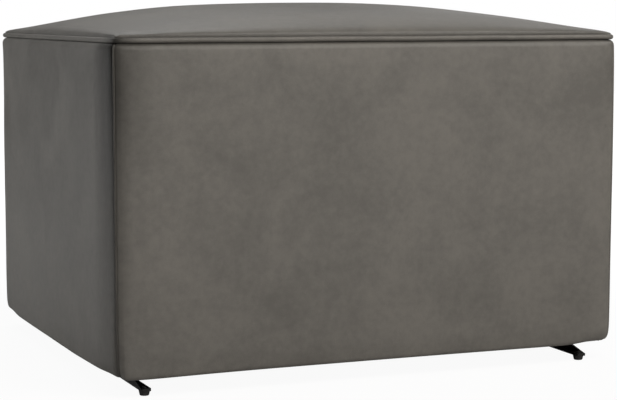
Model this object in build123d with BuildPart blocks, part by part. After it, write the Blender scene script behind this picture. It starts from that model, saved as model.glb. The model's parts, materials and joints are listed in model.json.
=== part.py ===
from build123d import *
import os
from math import cos, radians, sin, sqrt

# Gliding ottoman: a leather box that hangs on four swing links inside its own skirt.
# Origin on the floor under the middle of the box, +X to the right along the wide front,
# +Y to the back, +Z up. Millimetres. Every angle is in degrees.

# ---------------------------------------------------------------- upholstered box
body_width = 610.0
body_depth = 525.0
floor_gap = 22.5  # floor to the underside of the box
wall_height = 355.0  # underside of the box to the seam under the top welt
corner_radius = 14.0  # upright corners, on the outside of the leather
roll_radius = 5.0  # side covers, where they turn in under the welt
hem_radius = 4.0  # side covers, where they turn in under the box
leather = 1.5
hem_width = 20.0  # leather under the boards, from the face of the wall
allowance_width = 14.0  # leather turned in at the top seam, from the face of the wall
padding_thickness = 5.6
ply = 15.0  # board thickness
soft_gap = 0.2  # between layers that lie on each other
welt_diameter = 6.0
welt_seat = 0.3  # between the welt and the covers it is sewn between
corner_welt_radius = 1.5
corner_welt_seat = 0.1

# ---------------------------------------------------------------- crowned seat
crown_rise = 43.2  # seam to the highest point of the seat
crown_edge = 6.0  # upright edge of the top cover, above the seam
crown_power_x = 2.37  # how square the crown is across the width
crown_power_y = 1.8  # and from front to back
crown_fullness = 0.6
crown_levels = (0.0, 0.15, 0.4, 0.7, 0.9, 0.99)  # shares of the crown's height
foam_edge = 27.5  # foam below the seam, down to the top of the boards
web_thickness = 1.2
web_width = 50.0
web_setback = 12.0  # strap ends, from the face of the wall
webs_lengthwise = 5
webs_crosswise = 6

# ---------------------------------------------------------------- wooden frame
corner_post = 35.0
corner_post_base = 60.0  # floor to the lower end of a corner post
mount_rail_width = 60.0
mount_rail_height = 30.0
cloth_thickness = 0.8
cloth_gap = 0.3
edge_break = 2.0  # chamfer on bare wood

# ---------------------------------------------------------------- glide mechanism
swing_angle = 26.0  # each way from upright, where the link meets its stop
link_length = 135.0  # between pivots
pivot_reach = 95.0  # pivots in front of and behind the middle
steel = 3.0  # strip and angle thickness
wall_clearance = 6.5  # post flanges to the side boards
post_depth = 9.5
post_width = 36.0
post_notch = 3.5  # post flanges start this far above the floor rail's web
post_top_clearance = 35.0  # top of a post to the mount rails
upper_spacer_length = 7.0
lower_spacer_length = 8.0
link_stack = 8.0  # room for a link with its bearings
side_play = 0.2  # bearing flange to spacer, each side
link_thickness = 5.0
link_waist = 22.0
link_blend = 30.0  # radius where the waist runs into the eyes
eye_radius = 14.0
eye_clearance = 9.5  # lower eyes above the cross tubes
bearing_wall = 1.95
bearing_flange_radius = 9.0
bearing_split = 0.2  # between the two halves pressed into an eye
press_gap = 0.02
running_gap = 0.05
open_pivot_gap = 0.1
pin_radius = 4.0
pin_hole_gap = 0.1  # bolt in a plain plate or spacer
spacer_radius = 7.0
hex_radius = 7.5  # over the corners of bolt heads and nuts
head_height = 5.0
nut_height = 5.5
thread_end = 1.5  # bolt showing past its nut
bumper_radius = 7.0
bumper_reach = 57.0  # along the link, from its upper pivot to where it meets the stop
bumper_gap = 0.3
bumper_overhang = 2.0  # stop past the inner face of the link
bumper_neck = 2.5
bumper_button = 4.5
tie_bar_height = 25.0
rivet_radius = 2.5
rivet_head_radius = 4.0
rivet_head = 2.0
rivet_pitch = 18.0
strip_corner = 6.0  # rounded corners of tie bars and hangers

# ---------------------------------------------------------------- floor rails
glide_height = 5.5
glide_top_radius = 6.25
glide_foot_radius = 5.0
glide_edge_radius = 1.2  # round lower edge
glide_stem_radius = 2.0
glide_clip_radius = 2.4
glide_clip_height = 1.2
glide_setback = 17.0  # glides behind the front face of the box
rail_width = 11.0
rail_web_height = 20.0
rail_setback = 9.0  # rail tips behind the front face of the box
slant_setback = 12.5  # the web of a rail starts to rise
knee_setback = 38.5
knee_height = 5.5  # above the plate of the rail
step_setback = 43.5
step_height = 11.5
full_web_setback = 72.5
cross_tube = 20.0
cross_tube_wall = 1.5
cross_tube_reach = 125.0
screw_radius = 2.5
screw_head_radius = 4.2
screw_head = 2.5
screw_length = 12.0

# ---------------------------------------------------------------- carriage
carriage_flange = 30.0
carriage_reach = 130.0  # half the length of a carriage rail
hanger_width = 28.0
hanger_top_gap = 1.0  # hanger to the mount rail above it
hanger_rivet_drop = 11.0  # first rivet below the top of the carriage rail
hanger_rivet_pitch = 12.0
wood_screw_radius = 2.0
wood_screw_length = 22.0
wood_screw_spread = 18.0  # each side of the middle of a mount rail
wood_screw_inset = 13.0  # from the inner edge of the carriage rail

# ---------------------------------------------------------------- derived places
seam_z = floor_gap + wall_height
board_inset = leather + soft_gap + padding_thickness + soft_gap
inner_x = body_width / 2 - board_inset - ply
inner_y = body_depth / 2 - board_inset - ply
frame_bottom = floor_gap + leather
frame_top = seam_z - foam_edge
welt_z = seam_z + welt_seat + welt_diameter / 2
crown_inset = welt_diameter + welt_seat

post_x = inner_x - wall_clearance - post_depth  # inner face of a post's web
stack_outer = post_x - upper_spacer_length
stack_inner = stack_outer - link_stack
link_x = (stack_inner + stack_outer) / 2
hanger_outer = stack_inner - lower_spacer_length
hanger_x = hanger_outer - steel
carriage_x = hanger_x - steel
rail_web_x = post_x + steel
rail_outer = rail_web_x + steel
rail_inner = rail_outer - rail_width

rail_top = glide_height + steel
tube_top = rail_top + cross_tube
lower_z = tube_top + eye_clearance + eye_radius
upper_z = lower_z + link_length
post_top = upper_z + post_width / 2
mount_z = post_top + post_top_clearance
cloth_z = mount_z + mount_rail_height

swing = radians(swing_angle)
stop_offset = link_waist / 2 + bumper_gap + bumper_radius
bumper_y = pivot_reach - bumper_reach * sin(swing) - stop_offset * cos(swing)
bumper_z = upper_z - bumper_reach * cos(swing) + stop_offset * sin(swing)

SIDES = {"left": -1, "right": 1}
ENDS = {"front": -1, "rear": 1}
CORNERS = {f"{e}_{s}": (SIDES[s], ENDS[e]) for e in ENDS for s in SIDES}
WALLS = {"front": 0, "right": 90, "back": 180, "left": 270}


def save(builder, name):
    """Label a finished piece and write it out."""
    builder.part.label = name
    export_step(builder.part, f"parts/{name}.step")


def outward(side, x, y, z):
    """Plane facing out of the box on one side: its x runs along Y, its y points up."""
    return Plane(origin=(side * x, y, z), x_dir=(0, side, 0), z_dir=(side, 0, 0))


def round_bar(side, start, end, y, z, radius, bore=0.0, mode=Mode.ADD):
    """Round bar or tube lying across the box, from |x| = start out to |x| = end."""
    with BuildSketch(outward(side, start, y, z)) as section:
        Circle(radius)
        if bore:
            Circle(bore, mode=Mode.SUBTRACT)
    extrude(section.sketch, amount=end - start, mode=mode)


def hex_piece(side, start, end, y, z, bore=0.0):
    """Hexagonal head or nut lying across the box."""
    with BuildSketch(outward(side, start, y, z)) as section:
        RegularPolygon(hex_radius, 6)
        if bore:
            Circle(bore, mode=Mode.SUBTRACT)
    extrude(section.sketch, amount=end - start)


def plan_block(inset, bottom, top, bottom_radius=0.0, top_radius=0.0):
    """Block with the plan of the box, set in from its faces."""
    with BuildPart() as block:
        with BuildSketch(Plane.XY.offset(bottom)):
            RectangleRounded(body_width - 2 * inset, body_depth - 2 * inset, corner_radius - inset)
        extrude(amount=top - bottom)
        if top_radius:
            fillet(block.faces().sort_by(Axis.Z)[-1].edges(), top_radius)
        if bottom_radius:
            fillet(block.faces().sort_by(Axis.Z)[0].edges(), bottom_radius)
    return block.part


def wall_share(wrap, angle, seam):
    """The part of a wrap that lies on one wall, between the diagonals of its two corners."""
    turned = angle % 180 == 90
    along = body_depth if turned else body_width
    across = body_width if turned else body_depth
    reach = across / 4
    cut = seam * sqrt(2)
    x_dir = (cos(radians(angle)), sin(radians(angle)), 0)
    with BuildPart() as share:
        add(wrap)
        with BuildSketch(Plane(origin=(0, 0, 0), x_dir=x_dir, z_dir=(0, 0, 1))):
            with BuildLine():
                Polyline(
                    (cut - along / 2, -across / 2),
                    (along / 2 - cut, -across / 2),
                    (along / 2 - cut - reach, reach - across / 2),
                    (cut + reach - along / 2, reach - across / 2),
                    close=True,
                )
            make_face()
        extrude(amount=seam_z + crown_rise, mode=Mode.INTERSECT)
    return share


def crown_plan(level, inset):
    """Length, width and corner radius of the crown at a share of its height."""
    share = level ** (1 / crown_fullness)
    half_x = body_width / 2 - inset
    half_y = body_depth / 2 - inset
    reach_x = half_x * (1 - share) ** (1 / crown_power_x)
    reach_y = half_y * (1 - share) ** (1 / crown_power_y)
    corner_x = half_x * (1 - sqrt(share)) ** (1 / crown_power_x)
    corner_y = half_y * (1 - sqrt(share)) ** (1 / crown_power_y)
    cut = (reach_x - corner_x + reach_y - corner_y) / 2
    radius = max(cut / (1 - 1 / sqrt(2)), corner_radius - inset)
    return 2 * reach_x, 2 * reach_y, min(radius, 0.98 * reach_x, 0.98 * reach_y)


def crown_block(skin):
    """The crowned seat above the seam, made smaller all round by skin."""
    inset = crown_inset + skin
    bottom = seam_z + welt_seat + skin
    edge = seam_z + crown_edge
    height = crown_rise - crown_edge - skin
    with BuildPart() as crown:
        for level in crown_levels:
            with BuildSketch(Plane.XY.offset(edge + height * level)):
                RectangleRounded(*crown_plan(level, inset))
        loft()
        with BuildSketch(Plane.XY.offset(bottom)):
            RectangleRounded(*crown_plan(0.0, inset))
        extrude(amount=edge - bottom)
    return crown.part


# ================================================================ floor rails and posts
rail_half = body_depth / 2 - rail_setback
glide_x = (rail_inner + rail_outer) / 2
glide_y = body_depth / 2 - glide_setback
plate_screw_x = (rail_inner + rail_web_x) / 2
post_rivet_z = rail_top + rail_web_height / 2
rivet_bore = rivet_radius + press_gap
pin_bore = pin_radius + pin_hole_gap
tie_x = post_x - steel
bumper_start = link_x - link_thickness / 2 - bumper_overhang
WEB_OUTLINE = [
    (slant_setback, 0.0),
    (knee_setback, knee_height),
    (step_setback, step_height),
    (full_web_setback, rail_web_height),
]


def rivet(side, start, end, y, z):
    """Rivet through plates that lie from |x| = start out to |x| = end."""
    round_bar(side, start - rivet_head, start, y, z, rivet_head_radius)
    round_bar(side, start, end, y, z, rivet_radius)
    round_bar(side, end, end + rivet_head, y, z, rivet_head_radius)


def rivet_pair(end):
    """The two places of the rivets of one post, along Y."""
    return [end * pivot_reach + step * rivet_pitch / 2 for step in (-1, 1)]


for side_name, side in SIDES.items():
    with BuildPart() as floor_rail:
        with BuildSketch(Plane.XY.offset(glide_height)):
            with Locations((side * (rail_inner + rail_outer) / 2, 0)):
                Rectangle(rail_width, 2 * rail_half)
        extrude(amount=steel)
        fillet(floor_rail.edges().filter_by(Axis.Z), steel / 2)
        # Upright web, trimmed on a slant at both ends so that the skirt swings over it.
        with BuildSketch(outward(side, rail_web_x, 0, rail_top)):
            with BuildLine():
                front_half = [(setback - body_depth / 2, height) for setback, height in WEB_OUTLINE]
                Polyline(*front_half, *[(-y, z) for y, z in reversed(front_half)], close=True)
            make_face()
        extrude(amount=steel)
        for end in ENDS.values():
            with Locations((side * glide_x, end * glide_y, rail_top)):
                Hole(glide_stem_radius + press_gap)
            with Locations((side * plate_screw_x, end * cross_tube_reach, rail_top)):
                Hole(screw_radius + press_gap)
            for y in rivet_pair(end):
                round_bar(side, rail_web_x, rail_outer, y, post_rivet_z, rivet_bore, mode=Mode.SUBTRACT)
    save(floor_rail, f"floor_rail_{side_name}")

for end_name, end in ENDS.items():
    with BuildPart() as tube:
        with BuildSketch(Plane.YZ.offset(-rail_web_x + press_gap)):
            with Locations((end * cross_tube_reach, rail_top + cross_tube / 2)):
                RectangleRounded(cross_tube, cross_tube, cross_tube_wall * 1.5)
                hollow = cross_tube - 2 * cross_tube_wall
                RectangleRounded(hollow, hollow, cross_tube_wall / 2, mode=Mode.SUBTRACT)
        extrude(amount=2 * (rail_web_x - press_gap))
        for side in SIDES.values():
            with BuildSketch(Plane.XY.offset(rail_top)):
                with Locations((side * plate_screw_x, end * cross_tube_reach)):
                    Circle(screw_radius + press_gap)
            extrude(amount=cross_tube_wall, mode=Mode.SUBTRACT)
    save(tube, f"{end_name}_cross_tube")

with BuildPart() as cross_tube_screws:
    for side, end in CORNERS.values():
        head_bottom = glide_height - screw_head
        for radius, length in ((screw_head_radius, screw_head), (screw_radius, screw_length)):
            with BuildSketch(Plane.XY.offset(head_bottom)):
                with Locations((side * plate_screw_x, end * cross_tube_reach)):
                    Circle(radius)
            extrude(amount=length)
save(cross_tube_screws, "cross_tube_screws")

for corner_name, (side, end) in CORNERS.items():
    pivot_y = end * pivot_reach
    post_height = post_top - rail_top
    with BuildPart() as post:
        with BuildSketch(Plane.XY.offset(rail_top)):
            with Locations((side * (post_x + post_depth / 2), pivot_y)):
                Rectangle(post_depth, post_width)
        extrude(amount=post_height)
        bends = post.edges().filter_by(Axis.Z).group_by(Axis.X)[0 if side > 0 else -1]
        fillet(bends, steel)
        with BuildSketch(Plane.XY.offset(rail_top)):
            with Locations((side * (post_x + steel + post_depth / 2), pivot_y)):
                Rectangle(post_depth, post_width - 2 * steel)
        extrude(amount=post_height, mode=Mode.SUBTRACT)
        # The flanges stop above the web of the floor rail.
        with BuildSketch(Plane.XY.offset(rail_top)):
            with Locations((side * (post_x + steel + post_depth / 2), pivot_y)):
                Rectangle(post_depth, post_width)
        extrude(amount=rail_web_height + post_notch, mode=Mode.SUBTRACT)
        round_bar(side, post_x, rail_web_x, pivot_y, upper_z, pin_bore, mode=Mode.SUBTRACT)
        for y in rivet_pair(end):
            round_bar(side, post_x, rail_web_x, y, post_rivet_z, rivet_bore, mode=Mode.SUBTRACT)
            round_bar(side, post_x, rail_web_x, y, bumper_z, rivet_bore, mode=Mode.SUBTRACT)
    save(post, f"post_{corner_name}")

for side_name, side in SIDES.items():
    with BuildPart() as tie_bar:
        with BuildSketch(outward(side, tie_x, 0, bumper_z)):
            RectangleRounded(2 * pivot_reach + post_width, tie_bar_height, strip_corner)
        extrude(amount=steel)
        for end in ENDS.values():
            neck_bore = bumper_neck + press_gap
            round_bar(side, tie_x, post_x, end * bumper_y, bumper_z, neck_bore, mode=Mode.SUBTRACT)
            for y in rivet_pair(end):
                round_bar(side, tie_x, post_x, y, bumper_z, rivet_bore, mode=Mode.SUBTRACT)
    save(tie_bar, f"tie_bar_{side_name}")

with BuildPart() as post_rivets:
    for side, end in CORNERS.values():
        for y in rivet_pair(end):
            rivet(side, post_x, rail_outer, y, post_rivet_z)
            rivet(side, tie_x, rail_web_x, y, bumper_z)
save(post_rivets, "post_rivets")

with BuildPart() as stop_bumpers:
    for side, end in CORNERS.values():
        round_bar(side, bumper_start, tie_x, end * bumper_y, bumper_z, bumper_radius)
        round_bar(side, tie_x, post_x, end * bumper_y, bumper_z, bumper_neck)
        round_bar(side, post_x, post_x + bumper_neck, end * bumper_y, bumper_z, bumper_button)
save(stop_bumpers, "stop_bumpers")

with BuildPart() as glides:
    for side, end in CORNERS.values():
        with BuildSketch(Plane.XY):
            with Locations((side * glide_x, end * glide_y)):
                Circle(glide_foot_radius)
        with BuildSketch(Plane.XY.offset(glide_height)):
            with Locations((side * glide_x, end * glide_y)):
                Circle(glide_top_radius)
        loft()
    fillet(glides.faces().group_by(Axis.Z)[0].edges(), glide_edge_radius)
    for side, end in CORNERS.values():
        for radius, bottom, top in (
            (glide_stem_radius, glide_height, rail_top),
            (glide_clip_radius, rail_top, rail_top + glide_clip_height),
        ):
            with BuildSketch(Plane.XY.offset(bottom)):
                with Locations((side * glide_x, end * glide_y)):
                    Circle(radius)
            extrude(amount=top - bottom)
save(glides, "glides")

# ================================================================ swing links and pivots
bearing_radius = pin_radius + running_gap + bearing_wall
link_inner = link_x - link_thickness / 2
link_outer = link_x + link_thickness / 2
link_bore = bearing_radius + press_gap
main_link = "front_left"

for corner_name, (side, end) in CORNERS.items():
    pivot_y = end * pivot_reach
    with BuildPart() as link:
        with BuildSketch(outward(side, link_inner, pivot_y, lower_z)) as link_outline:
            with Locations((0, 0), (0, link_length)):
                Circle(eye_radius)
            with Locations((0, link_length / 2)):
                Rectangle(link_waist, link_length)
            necks = [v for v in link_outline.vertices() if abs(v.X) < link_waist / 2 + press_gap]
            fillet(necks, link_blend)
            with Locations((0, 0), (0, link_length)):
                Circle(link_bore, mode=Mode.SUBTRACT)
        extrude(amount=link_thickness)
    save(link, f"link_{corner_name}")

    # A flanged half bearing is pressed into each eye from each side.
    with BuildPart() as bearings:
        for pivot_z in (lower_z, upper_z):
            is_open = pivot_z == lower_z and corner_name != main_link
            bore = pin_radius + (open_pivot_gap if is_open else running_gap)
            half = bearing_split / 2
            for start, stop, radius in (
                (stack_inner + side_play, link_inner, bearing_flange_radius),
                (link_inner, link_x - half, bearing_radius),
                (link_x + half, link_outer, bearing_radius),
                (link_outer, stack_outer - side_play, bearing_flange_radius),
            ):
                round_bar(side, start, stop, pivot_y, pivot_z, radius, bore)
    save(bearings, f"bearings_{corner_name}")

with BuildPart() as upper_pivot_bolts:
    for side, end in CORNERS.values():
        hex_piece(side, stack_inner - head_height, stack_inner, end * pivot_reach, upper_z)
        tip = rail_web_x + nut_height + thread_end
        round_bar(side, stack_inner, tip, end * pivot_reach, upper_z, pin_radius)
save(upper_pivot_bolts, "upper_pivot_bolts")

with BuildPart() as upper_pivot_spacers:
    for side, end in CORNERS.values():
        round_bar(side, stack_outer, post_x, end * pivot_reach, upper_z, spacer_radius, pin_bore)
save(upper_pivot_spacers, "upper_pivot_spacers")

with BuildPart() as upper_pivot_nuts:
    for side, end in CORNERS.values():
        nut_bore = pin_radius + press_gap
        hex_piece(side, rail_web_x, rail_web_x + nut_height, end * pivot_reach, upper_z, nut_bore)
save(upper_pivot_nuts, "upper_pivot_nuts")

with BuildPart() as lower_pivot_bolts:
    for side, end in CORNERS.values():
        hex_piece(side, stack_outer, stack_outer + head_height, end * pivot_reach, lower_z)
        tip = hanger_x - nut_height - thread_end
        round_bar(side, tip, stack_outer, end * pivot_reach, lower_z, pin_radius)
save(lower_pivot_bolts, "lower_pivot_bolts")

with BuildPart() as lower_pivot_spacers:
    for side, end in CORNERS.values():
        round_bar(side, hanger_outer, stack_inner, end * pivot_reach, lower_z, spacer_radius, pin_bore)
save(lower_pivot_spacers, "lower_pivot_spacers")

with BuildPart() as lower_pivot_nuts:
    for side, end in CORNERS.values():
        nut_bore = pin_radius + press_gap
        hex_piece(side, hanger_x - nut_height, hanger_x, end * pivot_reach, lower_z, nut_bore)
save(lower_pivot_nuts, "lower_pivot_nuts")

# ================================================================ hangers and carriage
hanger_top = mount_z - hanger_top_gap
rivet_rows = [mount_z - hanger_rivet_drop - row * hanger_rivet_pitch for row in (0, 1)]
wood_screw_x = hanger_x - carriage_flange + wood_screw_inset
wood_screw_places = [
    (side * wood_screw_x, end * pivot_reach + step * wood_screw_spread)
    for side, end in CORNERS.values()
    for step in (-1, 1)
]

for corner_name, (side, end) in CORNERS.items():
    with BuildPart() as hanger:
        with BuildSketch(outward(side, hanger_x, end * pivot_reach, lower_z)) as strap:
            Circle(hanger_width / 2)
            with Locations((0, (hanger_top - lower_z) / 2)):
                Rectangle(hanger_width, hanger_top - lower_z)
            fillet(strap.vertices().group_by(Axis.Y)[-1], strip_corner)
        extrude(amount=steel)
        round_bar(side, hanger_x, hanger_outer, end * pivot_reach, lower_z, pin_bore, mode=Mode.SUBTRACT)
        for z in rivet_rows:
            round_bar(side, hanger_x, hanger_outer, end * pivot_reach, z, rivet_bore, mode=Mode.SUBTRACT)
    save(hanger, f"hanger_{corner_name}")

for side_name, side in SIDES.items():
    with BuildPart() as carriage_rail:
        with BuildSketch(Plane(origin=(0, 0, 0), x_dir=(side, 0, 0), z_dir=(0, -side, 0))) as angle:
            with BuildLine():
                Polyline(
                    (hanger_x - carriage_flange, mount_z - steel),
                    (hanger_x - carriage_flange, mount_z),
                    (hanger_x, mount_z),
                    (hanger_x, mount_z - carriage_flange),
                    (carriage_x, mount_z - carriage_flange),
                    (carriage_x, mount_z - steel),
                    close=True,
                )
            make_face()
            fillet(angle.vertices().sort_by_distance((carriage_x, mount_z - steel))[0], steel / 2)
        extrude(amount=carriage_reach, both=True)
        for x, y in wood_screw_places:
            if x * side > 0:
                with Locations((x, y, mount_z)):
                    Hole(wood_screw_radius + pin_hole_gap)
        for end in ENDS.values():
            for z in rivet_rows:
                round_bar(side, carriage_x, hanger_x, end * pivot_reach, z, rivet_bore, mode=Mode.SUBTRACT)
    save(carriage_rail, f"carriage_rail_{side_name}")

with BuildPart() as hanger_rivets:
    for side, end in CORNERS.values():
        for z in rivet_rows:
            rivet(side, carriage_x, hanger_outer, end * pivot_reach, z)
save(hanger_rivets, "hanger_rivets")

with BuildPart() as carriage_screws:
    for place in wood_screw_places:
        for radius, bottom, length in (
            (screw_head_radius, mount_z - steel - screw_head, screw_head),
            (wood_screw_radius, mount_z - steel, wood_screw_length),
        ):
            with BuildSketch(Plane.XY.offset(bottom)):
                with Locations(place):
                    Circle(radius)
            extrude(amount=length)
save(carriage_screws, "carriage_screws")

# ================================================================ wooden frame
for end_name, end in ENDS.items():
    with BuildPart() as mount_rail:
        with BuildSketch(Plane.XY.offset(mount_z)):
            with Locations((0, end * pivot_reach)):
                Rectangle(2 * inner_x, mount_rail_width)
        extrude(amount=mount_rail_height)
        chamfer(mount_rail.edges().filter_by(Axis.X), edge_break)
        with BuildSketch(Plane.XY.offset(mount_z)):
            with Locations([place for place in wood_screw_places if place[1] * end > 0]):
                Circle(wood_screw_radius + press_gap)
        extrude(amount=wood_screw_length - steel, mode=Mode.SUBTRACT)
    save(mount_rail, f"mount_rail_{end_name}")

for board_name, end in (("front_board", -1), ("back_board", 1)):
    with BuildPart() as board:
        with BuildSketch(Plane.XY.offset(frame_bottom)):
            with Locations((0, end * (inner_y + ply / 2))):
                Rectangle(2 * (inner_x + ply), ply)
        extrude(amount=frame_top - frame_bottom)
        outer_edges = board.edges().filter_by(Axis.Z).group_by(Axis.Y)[0 if end < 0 else -1]
        fillet(outer_edges, corner_radius - board_inset)
    save(board, board_name)

for side_name, side in SIDES.items():
    with BuildPart() as board:
        with BuildSketch(Plane.XY.offset(frame_bottom)):
            with Locations((side * (inner_x + ply / 2), 0)):
                Rectangle(ply, 2 * inner_y)
        extrude(amount=frame_top - frame_bottom)
    save(board, f"{side_name}_board")

with BuildPart() as corner_posts:
    with BuildSketch(Plane.XY.offset(corner_post_base)):
        for side, end in CORNERS.values():
            with Locations((side * (inner_x - corner_post / 2), end * (inner_y - corner_post / 2))):
                Rectangle(corner_post, corner_post)
    extrude(amount=frame_top - corner_post_base)
    chamfer(corner_posts.faces().sort_by(Axis.Z)[:4].edges(), edge_break)
save(corner_posts, "corner_posts")

with BuildPart() as webbing_lengthwise:
    with BuildSketch(Plane.XY.offset(frame_top)):
        with GridLocations(0, 2 * inner_y / webs_lengthwise, 1, webs_lengthwise):
            Rectangle(body_width - 2 * web_setback, web_width)
    extrude(amount=web_thickness)
save(webbing_lengthwise, "webbing_lengthwise")

with BuildPart() as webbing_crosswise:
    with BuildSketch(Plane.XY.offset(frame_top + web_thickness)):
        with GridLocations(2 * inner_x / webs_crosswise, 0, webs_crosswise, 1):
            Rectangle(web_width, body_depth - 2 * web_setback)
    extrude(amount=web_thickness)
save(webbing_crosswise, "webbing_crosswise")

with BuildPart() as dust_cover:
    with BuildSketch(Plane.XY.offset(cloth_z)):
        Rectangle(2 * (inner_x - cloth_gap), 2 * (inner_y - cloth_gap))
        for side, end in CORNERS.values():
            with Locations((side * inner_x, end * inner_y)):
                notch = 2 * (corner_post + cloth_gap)
                Rectangle(notch, notch, mode=Mode.SUBTRACT)
    extrude(amount=cloth_thickness)
save(dust_cover, "dust_cover")

# ================================================================ padding, foam and leather
padding_inset = leather + soft_gap
foam_inset = leather + soft_gap
foam_top = seam_z - leather - soft_gap

with BuildPart() as padding_wrap:
    add(plan_block(padding_inset, frame_bottom + soft_gap, frame_top, hem_radius - padding_inset))
    padding_back = plan_block(padding_inset + padding_thickness, frame_bottom, frame_top)
    add(padding_back, mode=Mode.SUBTRACT)

with BuildPart() as cover_wrap:
    add(plan_block(0.0, floor_gap, seam_z, hem_radius, roll_radius))
    lining = plan_block(leather, frame_bottom, seam_z - leather, hem_radius - leather, roll_radius - leather)
    add(lining, mode=Mode.SUBTRACT)
    for bottom, margin in ((floor_gap, hem_width), (seam_z - leather, allowance_width)):
        with BuildSketch(Plane.XY.offset(bottom)):
            Rectangle(body_width - 2 * margin, body_depth - 2 * margin)
        extrude(amount=leather, mode=Mode.SUBTRACT)

for wall, angle in WALLS.items():
    save(wall_share(padding_wrap.part, angle, 0.0), f"{wall}_padding")
    save(wall_share(cover_wrap.part, angle, corner_welt_radius + corner_welt_seat), f"{wall}_cover")

with BuildPart() as corner_welts:
    cut = corner_radius * (1 - 1 / sqrt(2))
    with BuildSketch(Plane.XY.offset(floor_gap + hem_radius)):
        for side, end in CORNERS.values():
            with Locations((side * (body_width / 2 - cut), end * (body_depth / 2 - cut))):
                Circle(corner_welt_radius)
    extrude(amount=wall_height - hem_radius - roll_radius)
save(corner_welts, "corner_welts")

with BuildPart() as top_welt:
    welt_x = (body_width - welt_diameter) / 2
    welt_y = (body_depth - welt_diameter) / 2
    with BuildLine(Plane.XY.offset(welt_z)):
        FilletPolyline(
            (0, -welt_y), (welt_x, -welt_y), (welt_x, welt_y), (0, welt_y),
            radius=corner_radius - welt_diameter / 2,
        )
    with BuildSketch(Plane(origin=(0, -welt_y, welt_z), z_dir=(1, 0, 0))):
        Circle(welt_diameter / 2)
    sweep()
    mirror(about=Plane.YZ)
save(top_welt, "top_welt")

with BuildPart() as top_cover:
    add(crown_block(0.0))
    add(crown_block(leather), mode=Mode.SUBTRACT)
    with BuildSketch(Plane.XY.offset(seam_z + welt_seat)):
        Rectangle(body_width - 2 * allowance_width, body_depth - 2 * allowance_width)
    extrude(amount=leather, mode=Mode.SUBTRACT)
save(top_cover, "top_cover")

with BuildPart() as seat_foam:
    foam_bottom = frame_top + 2 * web_thickness
    add(plan_block(foam_inset, foam_bottom, foam_top, 0.0, roll_radius - foam_inset))
    neck_margin = allowance_width + soft_gap
    with BuildSketch(Plane.XY.offset(foam_top)):
        Rectangle(body_width - 2 * neck_margin, body_depth - 2 * neck_margin)
    extrude(amount=seam_z + welt_seat + leather + soft_gap - foam_top)
    add(crown_block(leather + soft_gap))
save(seat_foam, "seat_foam")
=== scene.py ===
import json
import math
import random

import bmesh
import bpy
from mathutils import Matrix, Vector, noise


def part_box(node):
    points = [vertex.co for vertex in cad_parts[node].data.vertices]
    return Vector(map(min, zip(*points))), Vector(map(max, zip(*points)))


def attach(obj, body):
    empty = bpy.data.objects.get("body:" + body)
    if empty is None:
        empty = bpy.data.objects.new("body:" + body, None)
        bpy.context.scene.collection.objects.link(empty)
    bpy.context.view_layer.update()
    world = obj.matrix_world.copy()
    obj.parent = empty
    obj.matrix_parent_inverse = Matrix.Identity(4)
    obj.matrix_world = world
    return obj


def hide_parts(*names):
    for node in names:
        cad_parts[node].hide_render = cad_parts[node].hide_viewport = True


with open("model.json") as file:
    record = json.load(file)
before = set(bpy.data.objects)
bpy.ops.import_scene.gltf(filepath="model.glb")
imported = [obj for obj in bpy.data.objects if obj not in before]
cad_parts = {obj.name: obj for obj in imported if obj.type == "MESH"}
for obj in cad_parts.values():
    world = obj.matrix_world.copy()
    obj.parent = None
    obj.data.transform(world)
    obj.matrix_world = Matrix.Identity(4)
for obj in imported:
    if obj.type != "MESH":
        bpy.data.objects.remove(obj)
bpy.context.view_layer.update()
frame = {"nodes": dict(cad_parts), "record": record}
scene = bpy.context.scene
MM = 0.001

# ---------------------------------------------------------------- sizes from the frame
welt_low, welt_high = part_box("top_welt")
wall_low, wall_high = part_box("front_cover")
box_width = welt_high.x - welt_low.x
box_depth = welt_high.y - welt_low.y
half_width = box_width / 2
half_depth = box_depth / 2
skirt_z = wall_low.z
seam_z = wall_high.z
welt_radius = (welt_high.z - welt_low.z) / 2
welt_z = (welt_high.z + welt_low.z) / 2
crown_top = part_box("top_cover")[1].z

# ---------------------------------------------------------------- sizes of the leather work
leather = 1.5 * MM
corner_radius = 14 * MM
roll_radius = 6.5 * MM
hem_radius = 4 * MM
allowance_width = 14 * MM
hem_width = 20 * MM
corner_welt_radius = 1.3 * MM
corner_welt_out = 0.25 * MM
corner_seam_gap = 1.0 * MM
welt_inset = 4.8 * MM
welt_draw = 2.2 * MM
welt_drop = 0.5 * MM
crown_inset = 8.0 * MM
crown_edge = 9.2 * MM
crown_power_x = 2.37
crown_power_y = 1.8
crown_fullness = 0.6
leather_sheen = 0.42  # specular level of the leather
cover_pressure = 4.0  # under the leather, in the cloth simulation

X_AXIS = Vector((1, 0, 0))
Y_AXIS = Vector((0, 1, 0))
Z_AXIS = Vector((0, 0, 1))


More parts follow.
